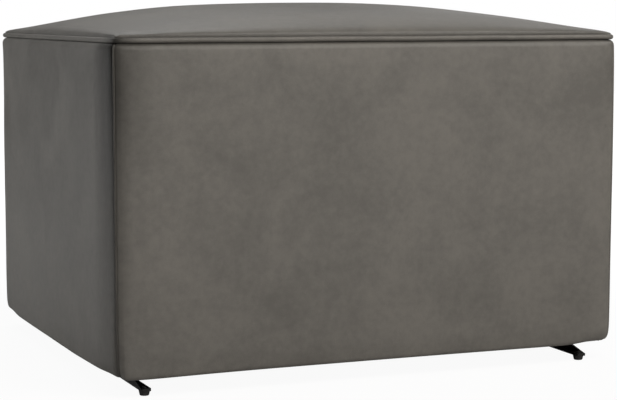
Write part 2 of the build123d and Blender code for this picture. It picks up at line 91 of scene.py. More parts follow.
# ================================================================ materials
class Shader:
    """A node material built step by step."""

    def __init__(self, name, colour, roughness, metallic=0.0):
        self.material = bpy.data.materials.new(name)
        self.material.use_nodes = True
        self.tree = self.material.node_tree
        self.shader = self.tree.nodes["Principled BSDF"]
        self.shader.inputs["Base Color"].default_value = (*colour, 1)
        self.shader.inputs["Roughness"].default_value = roughness
        self.shader.inputs["Metallic"].default_value = metallic
        self.coords = self.tree.nodes.new("ShaderNodeTexCoord").outputs["Object"]
        self.colour_out = None
        self.bump_out = None

    def node(self, kind, **values):
        made = self.tree.nodes.new("ShaderNode" + kind)
        for name, value in values.items():
            setattr(made, name, value)
        return made

    def place(self, scale=(1, 1, 1), move=(0, 0, 0)):
        """Object coordinates, moved and stretched."""
        mapping = self.node("Mapping")
        mapping.inputs["Scale"].default_value = scale
        mapping.inputs["Location"].default_value = move
        self.tree.links.new(self.coords, mapping.inputs["Vector"])
        return mapping.outputs["Vector"]

    def clouds(self, scale, detail=3.0, rough=0.5, at=None, warp=0.0):
        """Noise from 0 to 1."""
        made = self.node("TexNoise")
        made.inputs["Scale"].default_value = scale
        made.inputs["Detail"].default_value = detail
        made.inputs["Roughness"].default_value = rough
        made.inputs["Distortion"].default_value = warp
        self.tree.links.new(at or self.coords, made.inputs["Vector"])
        return made.outputs["Fac"]

    def cells(self, scale, at=None):
        """Cell pattern, such as the pebbles of a hide."""
        made = self.node("TexVoronoi", feature="DISTANCE_TO_EDGE")
        made.inputs["Scale"].default_value = scale
        self.tree.links.new(at or self.coords, made.inputs["Vector"])
        return made.outputs["Distance"]

    def bands(self, scale, at=None, warp=0.0, detail=2.0, direction="X"):
        """Parallel bands, such as wood grain or a weave."""
        made = self.node("TexWave", bands_direction=direction)
        made.inputs["Scale"].default_value = scale
        made.inputs["Distortion"].default_value = warp
        made.inputs["Detail"].default_value = detail
        self.tree.links.new(at or self.coords, made.inputs["Vector"])
        return made.outputs["Fac"]

    def spread(self, value, low, high, to_low=0.0, to_high=1.0):
        """value, taken from low..high to to_low..to_high."""
        made = self.node("MapRange")
        for name, number in zip(("From Min", "From Max", "To Min", "To Max"), (low, high, to_low, to_high)):
            made.inputs[name].default_value = number
        self.tree.links.new(value, made.inputs["Value"])
        return made.outputs["Result"]

    def maths(self, operation, first, second):
        """first and second joined by an operation."""
        made = self.node("Math", operation=operation)
        for socket, value in zip(made.inputs, (first, second)):
            if isinstance(value, (int, float)):
                socket.default_value = value
            else:
                self.tree.links.new(value, socket)
        return made.outputs[0]

    def shade(self, factor, *stops):
        """Colours picked by a factor; stops are (place, (r, g, b))."""
        ramp = self.node("ValToRGB")
        elements = ramp.color_ramp.elements
        while len(elements) < len(stops):
            elements.new(0.5)
        for element, (place, colour) in zip(elements, stops):
            element.position = place
            element.color = (*colour, 1)
        self.tree.links.new(factor, ramp.inputs["Fac"])
        self.tree.links.new(ramp.outputs["Color"], self.shader.inputs["Base Color"])
        self.colour_out = ramp.outputs["Color"]

    def paint_shade(self, factor):
        """The colour made darker by a factor: painted shade."""
        made = self.node("VectorMath", operation="SCALE")
        self.tree.links.new(self.colour_out, made.inputs[0])
        self.tree.links.new(factor, made.inputs["Scale"])
        self.tree.links.new(made.outputs[0], self.shader.inputs["Base Color"])

    def rough(self, factor):
        self.tree.links.new(factor, self.shader.inputs["Roughness"])

    def bump(self, height, strength, depth):
        """Adds a bump over those added before it."""
        made = self.node("Bump")
        made.inputs["Strength"].default_value = strength
        made.inputs["Distance"].default_value = depth
        self.tree.links.new(height, made.inputs["Height"])
        if self.bump_out:
            self.tree.links.new(self.bump_out, made.inputs["Normal"])
        self.bump_out = made.outputs["Normal"]
        self.tree.links.new(self.bump_out, self.shader.inputs["Normal"])


def leather_finish(name, move, reach=0.0, least=1.0, upper=(0.0, 0.001), rim=None, crease=1.0):
    """Soft grey leather: cloudy colour, fine pebble grain, a low even sheen.
    It has painted shade beside the front left corner, its colour and its sheen lowered: least of its colour
    there, all of it at reach away, from the one height to the other in upper; crease is its share of colour
    in the top seam, painted shade in that crease.
    With rim it has painted shade in front instead: least of its colour below that height, and all of it 4
    mm above."""
    skin = Shader(name, (0.14, 0.132, 0.12), 0.46)
    skin.shader.inputs["Specular IOR Level"].default_value = leather_sheen
    here = skin.place(move=move)
    blotches = skin.clouds(11, 5, 0.6, here, 0.6)
    flecks = skin.clouds(110, 4, 0.65, here)
    patches = skin.clouds(4.2, 2, 0.5, here, 0.4)
    tone = skin.maths("ADD", skin.maths("MULTIPLY", blotches, 0.6), skin.maths("MULTIPLY", flecks, 0.4))
    tone = skin.maths("ADD", tone, skin.spread(patches, 0.25, 0.75, -0.045, 0.045))
    skin.shade(
        tone,
        (0.36, (0.114, 0.108, 0.098)),
        (0.5, (0.138, 0.131, 0.119)),
        (0.64, (0.162, 0.153, 0.138)),
    )
    apart = skin.node("SeparateXYZ")
    skin.tree.links.new(skin.coords, apart.inputs[0])
    # painted shade along the front of the seat's rim, below the rim height
    if rim:
        low = skin.spread(apart.outputs["Z"], rim, rim + 4 * MM, 1.0 - least, 0.0)
        near = skin.spread(apart.outputs["Y"], -half_depth + 25 * MM, -half_depth + 60 * MM, 1.0, 0.0)
        skin.paint_shade(skin.maths("SUBTRACT", 1.0, skin.maths("MULTIPLY", low, near)))
    # painted shade beside the front left corner seam, in colour and in sheen
    if reach:
        x, y = (skin.maths("ABSOLUTE", apart.outputs[axis], 0.0) for axis in "XY")
        across = skin.maths("SUBTRACT", skin.maths("SUBTRACT", x, y), half_width - half_depth)
        beside = skin.spread(skin.maths("ABSOLUTE", across, 0.0), 0.0, reach * math.sqrt(2), 1.0, 0.0)
        high = skin.spread(apart.outputs["Z"], *upper)
        left = skin.spread(apart.outputs["X"], -50 * MM, 50 * MM, 1.0 - least, 0.0)
        front = skin.spread(apart.outputs["Y"], -50 * MM, 50 * MM, 1.0, 0.0)
        there = skin.maths("MULTIPLY", left, front)
        # painted shade: darkest at the front left corner seam, none at reach away
        dark = skin.maths("MULTIPLY", skin.maths("MULTIPLY", beside, high), there)
        light = skin.maths("SUBTRACT", 1.0, dark)
        # painted shade in the crease of the top seam, under the welt
        if crease < 1.0:
            light = skin.maths("MULTIPLY", light, skin.spread(
                apart.outputs["Z"], seam_z - 3.2 * MM, seam_z - 1.2 * MM, 1.0, crease
            ))
        skin.paint_shade(light)
        # the painted shade lowers the sheen there too
        sheen = skin.maths("MULTIPLY", light, leather_sheen)
        skin.tree.links.new(sheen, skin.shader.inputs["Specular IOR Level"])
    skin.rough(skin.spread(blotches, 0.3, 0.7, 0.43, 0.52))
    pebbles = skin.spread(skin.cells(900, at=here), 0.0, 0.35)
    skin.bump(pebbles, 0.35, 0.0002)
    skin.bump(skin.clouds(240, 4, 0.6, here), 0.25, 0.0004)
    skin.bump(skin.clouds(38, 3, 0.5, here), 0.12, 0.0016)
    return skin.material


def powder_coat():
    """Black powder coat on pressed steel: satin with a fine orange peel."""
    coat = Shader("black_powder_coat", (0.006, 0.006, 0.0065), 0.45)
    coat.shader.inputs["Specular IOR Level"].default_value = 0.3
    worn = coat.clouds(60, 4, 0.6)
    coat.shade(worn, (0.3, (0.0045, 0.0045, 0.005)), (0.75, (0.01, 0.01, 0.0105)))
    coat.rough(coat.spread(worn, 0.3, 0.7, 0.36, 0.5))
    coat.bump(coat.clouds(1400, 2, 0.5), 0.3, 0.0002)
    return coat.material


def zinc_plate():
    """Bright zinc on bolts, nuts, rivets and spacers."""
    zinc = Shader("zinc_plate", (0.55, 0.56, 0.57), 0.34, 1.0)
    dull = zinc.clouds(220, 3, 0.6)
    zinc.shade(dull, (0.3, (0.46, 0.47, 0.47)), (0.7, (0.62, 0.63, 0.63)))
    zinc.rough(zinc.spread(dull, 0.3, 0.7, 0.26, 0.44))
    zinc.bump(zinc.clouds(900, 2, 0.5), 0.2, 0.0001)
    return zinc.material


def nylon():
    """Natural nylon of the link bearings."""
    plain = Shader("natural_nylon", (0.7, 0.68, 0.61), 0.4)
    tint = plain.clouds(150, 3, 0.5)
    plain.shade(tint, (0.3, (0.64, 0.62, 0.55)), (0.7, (0.74, 0.72, 0.65)))
    plain.bump(plain.clouds(1200, 2, 0.5), 0.15, 0.0001)
    return plain.material


def moulded(name, colour, roughness):
    """Dark moulded plastic or rubber with a fine moulded texture."""
    body = Shader(name, colour, roughness)
    dust = body.clouds(90, 4, 0.6)
    lighter = tuple(1.7 * c for c in colour)
    body.shade(dust, (0.35, colour), (0.8, lighter))
    body.rough(body.spread(dust, 0.3, 0.7, roughness - 0.06, roughness + 0.08))
    body.bump(body.clouds(1600, 2, 0.5), 0.3, 0.00015)
    return body.material


def timber(name, dark, light, grain_axis, ring_scale):
    """Bare wood whose grain runs along one axis."""
    wood = Shader(name, light, 0.62)
    stretch = [1.0, 1.0, 1.0]
    stretch[grain_axis] = 0.06
    along = wood.place(scale=stretch)
    rings = wood.bands(ring_scale, along, 6.0, 3.0, "Y" if grain_axis == 0 else "X")
    fibres = wood.clouds(420, 4, 0.6, along)
    tone = wood.maths("ADD", wood.maths("MULTIPLY", rings, 0.45), wood.maths("MULTIPLY", fibres, 0.55))
    wood.shade(tone, (0.2, dark), (0.75, light))
    wood.rough(wood.spread(fibres, 0.3, 0.7, 0.55, 0.72))
    wood.bump(fibres, 0.35, 0.0004)
    return wood.material


def jute():
    """Woven jute straps."""
    weave = Shader("jute_webbing", (0.34, 0.25, 0.14), 0.85)
    warp = weave.bands(330, warp=0.6, direction="X")
    weft = weave.bands(330, warp=0.6, direction="Y")
    threads = weave.maths("MULTIPLY", warp, weft)
    weave.shade(threads, (0.05, (0.14, 0.095, 0.05)), (0.6, (0.4, 0.3, 0.18)))
    weave.bump(threads, 0.7, 0.0006)
    return weave.material


def cambric():
    """Thin black cloth that closes the box from below."""
    cloth = Shader("black_cambric", (0.014, 0.014, 0.015), 0.9)
    weave = cloth.maths("MULTIPLY", cloth.bands(700, direction="X"), cloth.bands(700, direction="Y"))
    cloth.shade(weave, (0.1, (0.008, 0.008, 0.009)), (0.8, (0.026, 0.026, 0.028)))
    cloth.bump(weave, 0.5, 0.0003)
    cloth.bump(cloth.clouds(60, 4, 0.6), 0.3, 0.001)
    return cloth.material


def open_foam():
    """Cream upholstery foam with open pores."""
    foam = Shader("seat_foam_cream", (0.62, 0.57, 0.43), 0.9)
    pores = foam.cells(900)
    foam.shade(pores, (0.0, (0.4, 0.36, 0.26)), (0.25, (0.66, 0.61, 0.47)))
    foam.bump(pores, 0.6, 0.0006)
    return foam.material


BEECH = (0.34, 0.2, 0.11), (0.56, 0.37, 0.22)
PLYWOOD = (0.4, 0.26, 0.14), (0.62, 0.45, 0.28)
FINISH = {
    "black_steel": powder_coat(),
    "zinc_steel": zinc_plate(),
    "nylon": nylon(),
    "rubber": moulded("stop_rubber", (0.016, 0.016, 0.016), 0.7),
    "glide_plastic": moulded("glide_plastic", (0.016, 0.016, 0.017), 0.45),
    "hardwood": timber("bare_beech_rails", *BEECH, 0, 60),
    "plywood": timber("bare_plywood_long", *PLYWOOD, 0, 45),
    "webbing": jute(),
    "dust_cloth": cambric(),
    "foam": open_foam(),
    # painted shade beside the front left corner and in the crease under the top welt
    "leather": leather_finish("leather_front_back", (0, 0, 0), 38 * MM, 0.54, (0.24, 0.33), crease=0.55),
}
# painted shade beside the front left corner
side_leather = leather_finish("leather_sides", (3.1, 1.7, 0.4), 46 * MM, 0.1, (-0.14, 0.33))
# painted shade along the front rim of the seat
seat_leather = leather_finish("leather_seat", (5.3, 2.9, 7.7), least=0.68, rim=seam_z + crown_edge - 1 * MM)
# painted shade beside the front left corner
welt_leather = leather_finish("leather_welts", (8.1, 4.3, 2.2), 24 * MM, 0.3)

post_beech = timber("bare_beech_posts", *BEECH, 2, 60)
side_plywood = timber("bare_plywood_sides", *PLYWOOD, 1, 45)
OWN_FINISH = {"corner_posts": post_beech, "left_board": side_plywood, "right_board": side_plywood}

slot_of = {part["node"]: part["material_slot"] for part in frame["record"]["subparts"]}
for node_name, node in frame["nodes"].items():
    for material_slot in node.material_slots:
        material_slot.material = OWN_FINISH.get(node_name, FINISH[slot_of[node_name]])


# ================================================================ shaping helpers
def finish_piece(name, bm, material, body="ottoman"):
    """Makes a mesh object of bm, smooth shaded, with its finish and its body."""
    mesh = bpy.data.meshes.new(name)
    bm.normal_update()
    bm.to_mesh(mesh)
    bm.free()
    mesh.shade_smooth()
    mesh.materials.append(material)
    piece = bpy.data.objects.new(name, mesh)
    scene.collection.objects.link(piece)
    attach(piece, body)
    return piece


def give_thickness(piece, thickness, smooth_levels=1):
    """Solidify inwards, then subdivide."""
    wall = piece.modifiers.new("Thickness", "SOLIDIFY")
    wall.thickness = thickness
    wall.offset = -1
    soften(piece, smooth_levels)


def soften(piece, levels=1):
    smooth = piece.modifiers.new("Smooth", "SUBSURF")
    smooth.levels = levels
    smooth.render_levels = levels


def cut(bm, point, normal, faces=None):
    """Cuts bm, or some of its faces, along a plane."""
    faces = faces or bm.faces[:]
    edges = {edge for face in faces for edge in face.edges}
    verts = {vert for face in faces for vert in face.verts}
    bmesh.ops.bisect_plane(bm, geom=[*verts, *edges, *faces], dist=1e-7, plane_co=point, plane_no=normal)


def stations(half, step, close=()):
    """Places from -half to half at about step, with closer ones near both ends."""
    count = max(2, round(2 * half / step))
    inner = [-half + 2 * half * i / count for i in range(1, count)]
    ends = [side * (half - gap) for gap in close for side in (-1, 1)]
    return sorted(inner + ends)


def lift(value, low, high):
    """0 below low, 1 above high, smooth between."""
    t = min(max((value - low) / (high - low), 0.0), 1.0)
    return t * t * (3 - 2 * t)


def plan_normal(place):
    """Outward direction in plan of a point on the wall of the box, or None away from it."""
    x = max(abs(place.x) - (half_width - corner_radius), 0.0)
    y = max(abs(place.y) - (half_depth - corner_radius), 0.0)
    out = Vector((math.copysign(x, place.x), math.copysign(y, place.y), 0))
    return out.normalized() if out.length > corner_radius / 4 else None


def seam_distance(place):
    """Distance in plan to the diagonal of the nearest corner."""
    return abs((abs(place.x) - half_width) - (abs(place.y) - half_depth)) / math.sqrt(2)


def outline(inset):
    """Half sizes of the straight runs, and corner radius, of the box's outline drawn in by inset."""
    radius = max(corner_radius - inset, 0.8 * MM)
    return half_width - inset - radius, half_depth - inset - radius, radius


def drawn_in(place, old, new):
    """A point of the outline that is drawn in by old, moved to the one drawn in by new."""
    old_x, old_y, _ = outline(old)
    new_x, new_y, radius = outline(new)
    out = Vector((max(abs(place.x) - old_x, 0.0), max(abs(place.y) - old_y, 0.0)))
    out = Vector((round(out.x, 7), round(out.y, 7))).normalized()
    x = (new_x if out.x else abs(place.x) * new_x / old_x) + radius * out.x
    y = (new_y if out.y else abs(place.y) * new_y / old_y) + radius * out.y
    return Vector((math.copysign(x, place.x), math.copysign(y, place.y), place.z))


def add_rings(bm, rim, rings):
    """Grows a skin from its rim through rings, given as (inset, height); returns the last rim."""
    old = rings[0][0]
    for inset, height in rings[1:]:
        made = bmesh.ops.extrude_edge_only(bm, edges=rim)["geom"]
        moved = {item for item in made if isinstance(item, bmesh.types.BMVert)}
        rim = [e for e in made if isinstance(e, bmesh.types.BMEdge) and moved.issuperset(e.verts)]
        for vert in moved:
            vert.co = drawn_in(vert.co, old, inset)
            vert.co.z = height
        old = inset
    return rim


def blow_out(piece, sewn, pressure, most, frames=20):
    """Cloth simulation: what is under the leather presses it out, and the sewn points hold it."""
    mesh = piece.data
    group = piece.vertex_groups.new(name="sewn")
    group.add([vert.index for vert in mesh.vertices if sewn(vert.co)], 1.0, "REPLACE")
    cloth = piece.modifiers.new("Cloth", "CLOTH")
    settings = cloth.settings
    settings.quality = 6
    settings.mass = 0.35
    settings.tension_stiffness = 25
    settings.compression_stiffness = 25
    settings.shear_stiffness = 8
    settings.bending_stiffness = 4
    settings.use_pressure = True
    settings.uniform_pressure_force = pressure
    settings.vertex_group_mass = group.name
    settings.effector_weights.gravity = 0
    for frame_number in range(1, frames + 1):
        scene.frame_set(frame_number)
    blown = piece.evaluated_get(bpy.context.evaluated_depsgraph_get()).data
    steps = [blown.vertices[vert.index].co - vert.co for vert in mesh.vertices]
    piece.modifiers.remove(cloth)
    piece.vertex_groups.remove(group)
    scene.frame_set(1)
    for vert, step in zip(mesh.vertices, steps):
        outwards = step.dot(vert.normal)
        if outwards < 0:
            step = step - vert.normal * outwards
        if step.length > most:
            step *= most / step.length
        vert.co += step


# ================================================================ side covers
panel_swell = 0.8 * MM
seam_dip = 0.9 * MM
seam_dip_reach = 1.8 * MM
edge_swell = 0.9 * MM
hem_tuck = 1.5 * MM
seam_tuck = 4.0 * MM
side_tuck = 5.6 * MM
padding_gap = 0.2 * MM
padding_thickness = 5.6 * MM
most_padding = 4.5 * MM  # how much thicker the padding may be than that
back_bulge = 1.2 * MM  # of the side walls, beside their back corners
bow_step = 0.25 * MM


def wall_skin():
    """Leather of all four walls as one skin, turned in at the seam and under the box."""
    bm = bmesh.new()
    bmesh.ops.create_cube(bm, size=1.0)
    wall_height = seam_z - skirt_z
    bmesh.ops.scale(bm, vec=(box_width, box_depth, wall_height), verts=bm.verts)
    bmesh.ops.translate(bm, vec=(0, 0, (seam_z + skirt_z) / 2), verts=bm.verts)
    upright = [e for e in bm.edges if abs(e.verts[0].co.z - e.verts[1].co.z) > wall_height / 2]
    bmesh.ops.bevel(
        bm, geom=upright, offset=corner_radius, segments=8, profile=0.5, affect="EDGES", material=-1
    )
    for side, radius, margin in ((1, roll_radius, allowance_width), (-1, hem_radius, hem_width)):
        cap = max(bm.faces, key=lambda face: side * face.calc_center_median().z)
        bmesh.ops.bevel(
            bm, geom=cap.edges[:], offset=radius, segments=4, profile=0.5, affect="EDGES", material=-1
        )
        cap = max(bm.faces, key=lambda face: side * face.calc_center_median().z)
        bmesh.ops.inset_region(bm, faces=[cap], thickness=margin - radius, use_even_offset=True)
        bmesh.ops.delete(bm, geom=[cap], context="FACES")
    return bm


def cut_walls(bm):
    """Cuts the walls fine enough to be shaped, finest beside the seams."""
    near = [gap * MM for gap in (17, 20, 24, 29, 36, 44)]
    for place in stations(half_width, 11 * MM, near):
        cut(bm, X_AXIS * place, X_AXIS)
    for place in stations(half_depth, 11 * MM, near):
        cut(bm, Y_AXIS * place, Y_AXIS)
    for gap in (6, 8.5, 12, 16.5, 22):
        cut(bm, Z_AXIS * (skirt_z + gap * MM), Z_AXIS)
    for gap in (7, 9.5, 13, 18):
        cut(bm, Z_AXIS * (seam_z - gap * MM), Z_AXIS)
    for step in range(31):
        cut(bm, Z_AXIS * (skirt_z + 30 * MM + (seam_z - skirt_z - 56 * MM) * step / 30), Z_AXIS)
    for x in (-1, 1):
        for y in (-1, 1):
            corner = Vector((x * half_width, y * half_depth, 0))
            across = Vector((x, -y, 0)).normalized()
            for offset in (1.3 * MM, 2.4 * MM, 4.2 * MM):
                for side in (-1, 1):
                    reach = 2 * corner_radius
                    close = [f for f in bm.faces if (f.calc_center_median() - corner).xy.length < reach]
                    cut(bm, corner + across * side * offset, across, close)


def corner_bow(angle, reach):
    """How a wall that leaves its corner seam at an angle differs from the plain rounded corner:
    (along, outwards) at each step from the seam."""
    cut_in = corner_radius * (1 - 1 / math.sqrt(2))
    along, out, bow = cut_in, -cut_in, []
    for index in range(480):
        run = index * bow_step
        turn = math.pi / 4 - run / corner_radius
        plain = corner_radius * (1 - math.sin(turn)), -corner_radius * (1 - math.cos(turn))
        if turn < 0:
            plain = corner_radius * (1 - turn), 0.0
        bow.append((along - plain[0], out - plain[1]))
        heading = angle * math.exp(-((run / reach) ** 2))
        along += math.cos(heading) * bow_step
        out += math.sin(heading) * bow_step
    return bow


FRONT_BOW = corner_bow(math.radians(33), 15 * MM)
SIDE_BOW = corner_bow(math.radians(21), 19 * MM)


def outline_run(place):
    """Whether a point is on a side wall, and how far along the outline from the nearest corner seam."""
    x = abs(place.x) - (half_width - corner_radius)
    y = abs(place.y) - (half_depth - corner_radius)
    if x > 0 and y > 0:
        turn = math.atan2(x, y) - math.pi / 4
        return turn > 0, abs(turn) * corner_radius
    return x > y, math.pi / 4 * corner_radius - min(x, y)


def fullness(z):
    """Share of the bow at a height: none at the top seam, little at the hem."""
    top = 1 - math.exp(-max(seam_z - z, 0) / (18 * MM))
    return top * (0.2 + 0.8 * lift(z - skirt_z, -10 * MM, 115 * MM))


def tuck_share(place):
    """Share of the tuck at a height: all at the hem, none 60 mm above it, less on the right."""
    above = max(place.z - skirt_z, 0)
    wide = max(1 - above / (60 * MM), 0)
    close = max(1 - above / (14 * MM), 0)
    share = 0.5 if place.x < 0 else 0.12
    return share * wide ** 2 + (1 - share) * close ** 2


def seam_inwards(place):
    """How far a corner seam lies in, both ways, from the plain rounded corner."""
    inwards = seam_tuck * tuck_share(place)
    top = 1 - math.exp(-max(seam_z - place.z, 0) / (12 * MM))
    if place.x > 0:
        inwards -= 0.85 * MM * lift(place.z - skirt_z, 40 * MM, 270 * MM) * top
    return inwards


def wall_shift(place):
    """How far a point of the walls is shifted: outwards, and along the wall away from its corner."""
    on_side, run = outline_run(place)
    bow = SIDE_BOW if on_side else FRONT_BOW
    along, out = bow[min(int(run / bow_step), len(bow) - 1)]
    share = fullness(place.z) * (0.9 if on_side and place.y > 0 else 1.0)
    at_seam = math.exp(-((run / (8 * MM)) ** 2))
    above = place.z - skirt_z
    tuck = hem_tuck * max(1 - max(above, 0) / (14 * MM), 0) ** 2
    if on_side or place.x > 0:
        beside = math.exp(-((run / ((52 if on_side else 36) * MM)) ** 4))
        beside *= 0.3 if on_side and place.y > 0 else 1.0
        tuck += (side_tuck - hem_tuck) * beside * tuck_share(place)
    inwards = seam_inwards(place)
    out = out * share - inwards * at_seam - tuck * (1 - at_seam)
    along = along * share * math.exp(-((run / (40 * MM)) ** 2)) + inwards * at_seam
    edge = math.exp(-(((seam_z - place.z - 9 * MM) / (7 * MM)) ** 2))
    out += edge_swell * edge * (0.2 if on_side else lift(run, 10 * MM, 40 * MM))
    if on_side and place.y > 0:
        lower = lift(seam_z - place.z, 40 * MM, 150 * MM)
        out += back_bulge * lower * math.exp(-(((run - 13 * MM) / (14 * MM)) ** 2))
    if on_side and place.z > seam_z - roll_radius:
        inset = half_width - abs(place.x)
        square = 0.45 * min(inset, roll_radius) * (1 - lift(inset, roll_radius, 10 * MM))
        out += square * lift(run, 10 * MM, 26 * MM)
    return out, along


def hem_hang(place):
    """How far the hem hangs below its plain line."""
    on_side, run = outline_run(place)
    if on_side:
        hang = 0.6 * MM + 2.9 * MM * lift(place.y + half_depth, 10 * MM, 200 * MM)
        return hang * (lift(run, 0, 14 * MM) if place.y < 0 else lift(run, 8 * MM, 70 * MM))
    low = 3.9 * MM if place.x < 0 else 1.0 * MM
    hang = 1.6 * MM + low * math.exp(-run / (70 * MM)) * (1 - math.exp(-run / (25 * MM)))
    return hang * (lift(run, 0, 8 * MM) if place.x < 0 else lift(run, 30 * MM, 60 * MM))


def shape_walls(bm):
    """Bows the walls out beside the corner seams, tucks their hem in and lets it hang."""
    for vert in bm.verts:
        place = vert.co.copy()
        across = plan_normal(place)
        if across is None:
            continue
        out, along = wall_shift(place)
        shift = (out, -along) if outline_run(place)[0] else (-along, out)
        vert.co.x += shift[0] * math.copysign(1, place.x)
        vert.co.y += shift[1] * math.copysign(1, place.y)
        upper = lift(seam_z - place.z, 0, 40 * MM)
        dip = seam_dip * math.exp(-max(seam_distance(place) - corner_seam_gap, 0) / seam_dip_reach)
        uneven = 0.35 * MM * noise.noise(place * 9) + 0.12 * MM * noise.noise(place * 38)
        vert.co += across * (uneven * upper - dip)
        vert.co.z -= hem_hang(place) * (1 - lift(place.z - skirt_z, 0, 60 * MM))


def cut_panel(skin, along_x, side, gap):
    """One wall of the skin, cut from it along the two corner diagonals."""
    bm = skin.copy()
    for end in (-1, 1):
        if along_x:
            corner = Vector((end * half_width, side * half_depth, 0))
            keep = Vector((-end, side, 0)).normalized()
        else:
            corner = Vector((side * half_width, end * half_depth, 0))
            keep = Vector((side, -end, 0)).normalized()
        bmesh.ops.bisect_plane(
            bm, geom=[*bm.verts, *bm.edges, *bm.faces], dist=1e-7,
            plane_co=corner + keep * gap, plane_no=keep, clear_inner=True,
        )
    return bm


def padding_skin(skin):
    """Outer face of the padding: the walls' skin, moved in under the leather, without its turns."""
    bm = skin.copy()
    bm.normal_update()
    normals = [vert.normal.copy() for vert in bm.verts]
    for vert, normal in zip(bm.verts, normals):
        vert.co -= normal * (leather + padding_gap)
    for height, across in ((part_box("front_padding")[1].z, Z_AXIS), (skirt_z + 5 * MM, -Z_AXIS)):
        bmesh.ops.bisect_plane(
            bm, geom=[*bm.verts, *bm.edges, *bm.faces], dist=1e-7,
            plane_co=Z_AXIS * height, plane_no=across, clear_outer=True,
        )
    depth = leather + padding_gap + padding_thickness
    middles = [(face, face.calc_center_median()) for face in bm.faces]
    inner = [
        face for face, middle in middles
        if max(abs(middle.x) - half_width, abs(middle.y) - half_depth) < -depth
    ]
    bmesh.ops.delete(bm, geom=inner, context="FACES")
    return bm


def pad_thickness(piece):
    """Thickness inwards to the flat board, less where the leather is drawn in."""
    group = piece.vertex_groups.new(name="depth")
    most = padding_thickness + most_padding
    for vert in piece.data.vertices:
        swell = wall_shift(vert.co)[0] if plan_normal(vert.co) else 0
        group.add([vert.index], min(max((padding_thickness + swell) / most, 0.03), 1.0), "REPLACE")
    wall = piece.modifiers.new("Thickness", "SOLIDIFY")
    wall.thickness = most
    wall.offset = -1
    wall.vertex_group = group.name
    wall.thickness_vertex_group = 0.0


def held_at_edges(place):
    """Whether a point of a side cover lies on its seams, its hem or its turned-in edge."""
    out = plan_normal(place)
    if out is None or place.z > seam_z - 9 * MM or place.z < skirt_z + 10 * MM:
        return True
    return seam_distance(place) < 18 * MM


skin = wall_skin()
cut_walls(skin)
shape_walls(skin)
pad_skin = padding_skin(skin)
PANELS = {
    "front": (True, -1, FINISH["leather"], (0.602, 0.384)),
    "back": (True, 1, FINISH["leather"], (0.602, 0.384)),
    "left": (False, -1, side_leather, (0.517, 0.384)),
    "right": (False, 1, side_leather, (0.517, 0.384)),
}
for wall_name, (along_x, side, hide, flat) in PANELS.items():
    panel = finish_piece(
        f"{wall_name}_cover_leather", cut_panel(skin, along_x, side, corner_seam_gap), hide
    )
    blow_out(panel, held_at_edges, cover_pressure, panel_swell)
    give_thickness(panel, leather)
    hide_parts(f"{wall_name}_cover")
    batting = finish_piece(
        f"{wall_name}_padding_batting", cut_panel(pad_skin, along_x, side, 8 * MM), FINISH["foam"]
    )
    pad_thickness(batting)
    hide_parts(f"{wall_name}_padding")
skin.free()
pad_skin.free()


# ================================================================ welts
def corner_welts():
    """Thin corded seams of the four upright corners, following the turn of hem and roll."""
    bm = bmesh.new()
    cut_in = corner_radius * (1 - 1 / math.sqrt(2))
    low = skirt_z + 1.2 * MM
    high = seam_z - 1.0 * MM
    made = bmesh.ops.create_cone(
        bm, cap_ends=True, segments=10, radius1=corner_welt_radius, radius2=corner_welt_radius,
        depth=high - low,
    )
    bmesh.ops.translate(bm, vec=(0, 0, (low + high) / 2), verts=made["verts"])
    for gap in (1.5, 3, 5, 7):
        cut(bm, Z_AXIS * (low + gap * MM), Z_AXIS)
        cut(bm, Z_AXIS * (high - gap * MM), Z_AXIS)
    for step in range(1, 24):
        cut(bm, Z_AXIS * (low + (high - low) * step / 24), Z_AXIS)
    one = bm.verts[:] + bm.edges[:] + bm.faces[:]
    corners = [(x, y) for x in (-1, 1) for y in (-1, 1)]
    for _ in corners[1:]:
        bmesh.ops.duplicate(bm, geom=one)
    count = len(bm.verts) // len(corners)
    bm.verts.ensure_lookup_table()
    for index, (x, y) in enumerate(corners):
        for vert in bm.verts[index * count : (index + 1) * count]:
            low_turn = max(1 - (vert.co.z - skirt_z) / hem_radius, 0)
            high_turn = max(1 - (seam_z - vert.co.z) / roll_radius, 0)
            turn = hem_radius * (1 - math.sqrt(max(1 - low_turn ** 2, 0)))
            turn += roll_radius * (1 - math.sqrt(max(1 - high_turn ** 2, 0)))
            inwards = seam_inwards(Vector((x, y, vert.co.z))) + 0.12 * MM * noise.noise(vert.co * 25)
            inwards += cut_in + 0.7 * (corner_welt_radius - corner_welt_out + turn)
            vert.co.x += x * (half_width - inwards)
            vert.co.y += y * (half_depth - inwards)
    return bm


